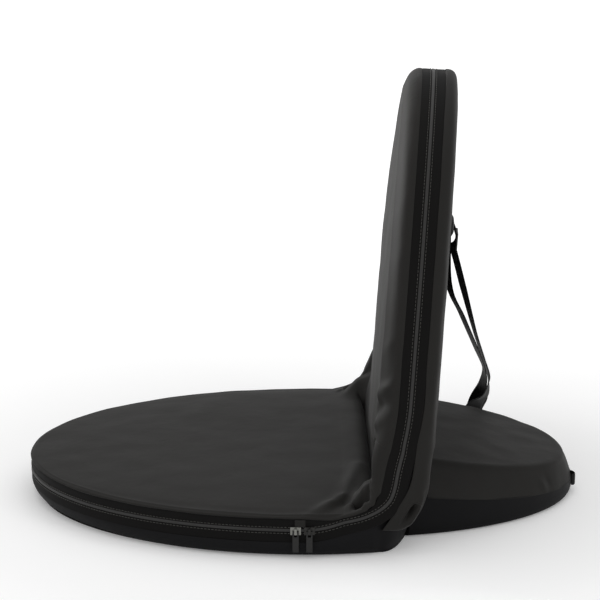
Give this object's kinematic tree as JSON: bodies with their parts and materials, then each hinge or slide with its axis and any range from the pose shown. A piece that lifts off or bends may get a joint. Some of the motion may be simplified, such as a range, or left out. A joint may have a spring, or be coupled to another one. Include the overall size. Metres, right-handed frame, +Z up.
{
  "type": "stadium seat",
  "caption": "Folding oval stadium seat with a padded back on toothed hinges, a rear pad, a two-way zip round the seat and a carry strap.",
  "frame": {"origin": "on the floor under the middle of the seat, halfway from the front edge to the tag on the rear pad", "axes": "+Z up, the front of the seat faces -Y, +X to the sitter's right"},
  "size_m": [0.5048, 0.6712, 0.5203],
  "materials": {
    "grey_cloth": "satin woven polyester",
    "black_cloth": "dull woven polyester",
    "zip_tape": "dull woven tape",
    "zip_nylon": "satin",
    "webbing": "ribbed webbing",
    "foam": "open foam",
    "tube_steel": "black powder coat",
    "hinge_steel": "plated",
    "plated_steel": "plated",
    "slider_silver": "satin plated",
    "slider_dark": "satin black",
    "buckle_nylon": "satin"
  },
  "bodies": {
    "seat": {"bend_cover_front": "grey_cloth", "bend_cover_rear": "grey_cloth", "bend_foam": "foam", "bend_zip_coil": "zip_nylon", "bend_zip_tape_inner": "zip_tape", "bend_zip_tape_outer": "zip_tape", "hinge_pin_left": "plated_steel", "hinge_pin_right": "plated_steel", "hinge_seat_plate_left": "hinge_steel", "hinge_seat_plate_right": "hinge_steel", "seat_cover_bottom": "black_cloth", "seat_cover_top": "grey_cloth", "seat_cross_tube": "tube_steel", "seat_foam": "foam", "seat_frame_tube": "tube_steel", "seat_rivets": "plated_steel", "seat_zip_coil_front": "zip_nylon", "seat_zip_coil_rear": "zip_nylon", "seat_zip_tape_lower": "zip_tape", "seat_zip_tape_upper": "zip_tape", "tail_cover_bottom": "black_cloth", "tail_cover_top": "grey_cloth", "tail_foam": "foam", "tail_tag": "webbing", "zip_end_tab": "zip_tape"},
    "back": {"back_cover_front": "grey_cloth", "back_cover_rear": "grey_cloth", "back_cross_tube": "tube_steel", "back_foam": "foam", "back_frame_tube": "tube_steel", "back_rivets": "plated_steel", "back_zip_coil": "zip_nylon", "back_zip_tape_front": "zip_tape", "back_zip_tape_rear": "zip_tape", "hinge_back_arm_left": "hinge_steel", "hinge_back_arm_right": "hinge_steel", "pawl_pin_left": "plated_steel", "pawl_pin_right": "plated_steel", "pawl_spring_left": "plated_steel", "pawl_spring_right": "plated_steel", "strap_patch_left": "webbing", "strap_patch_right": "webbing", "strap_webbing": "webbing"},
    "pawl_right": {"pawl_right": "hinge_steel"},
    "pawl_left": {"pawl_left": "hinge_steel"},
    "slider_front": {"zip_slider_front": "slider_silver"},
    "slider_rear": {"zip_slider_rear": "slider_dark"},
    "pull_front": {"zip_pull_front": "slider_dark"},
    "pull_rear": {"zip_pull_rear": "slider_dark"},
    "buckle": {"strap_buckle": "buckle_nylon"}
  },
  "joints": [
    {"name": "recline", "type": "hinge", "parent": "seat", "child": "back", "pos_m": [0, 0.08835, 0.056], "axis": [-1, 0, 0], "range_deg": [-91.2, 30.4], "deforming": ["bend_foam", "bend_cover_front", "bend_cover_rear", "bend_zip_tape_inner", "bend_zip_coil", "bend_zip_tape_outer", "strap_webbing"]},
    {"name": "pawl_lift_right", "type": "hinge", "parent": "back", "child": "pawl_right", "pos_m": [0.2115, 0.10175, 0.08506], "axis": [1, 0, 0], "range_deg": [0, 12], "stiffness_Nm_per_rad": 0.15, "springref_deg": -8.59, "deforming": ["pawl_spring_right"]},
    {"name": "pawl_lift_left", "type": "hinge", "parent": "back", "child": "pawl_left", "pos_m": [-0.2115, 0.10175, 0.08506], "axis": [1, 0, 0], "range_deg": [0, 12], "stiffness_Nm_per_rad": 0.15, "springref_deg": -8.59, "deforming": ["pawl_spring_left"]},
    {"name": "slider_front_run", "type": "hinge", "parent": "seat", "child": "slider_front", "pos_m": [-0.22886, 0.01035, 0.0336], "axis": [0, 0, 1], "range_deg": [-3, 0], "deforming": ["seat_zip_coil_front"]},
    {"name": "slider_rear_run", "type": "hinge", "parent": "seat", "child": "slider_rear", "pos_m": [-0.22886, 0.01035, 0.0336], "axis": [0, 0, 1], "range_deg": [0, 3], "deforming": ["seat_zip_coil_rear"]},
    {"name": "pull_front_swing", "type": "hinge", "parent": "slider_front", "child": "pull_front", "pos_m": [0.25227, -0.00875, 0.033], "axis": [-0.0397, -0.9992, 0], "range_deg": [0, 150]},
    {"name": "pull_rear_swing", "type": "hinge", "parent": "slider_rear", "child": "pull_rear", "pos_m": [0.25264, 0.00683, 0.033], "axis": [-0.0073, -1, 0], "range_deg": [0, 150]},
    {"name": "buckle_swing", "type": "hinge", "parent": "back", "child": "buckle", "pos_m": [0.14, 0.18322, 0.35063], "axis": [1, 0, 0], "range_deg": [0, 60], "deforming": ["strap_webbing"]}
  ]
}
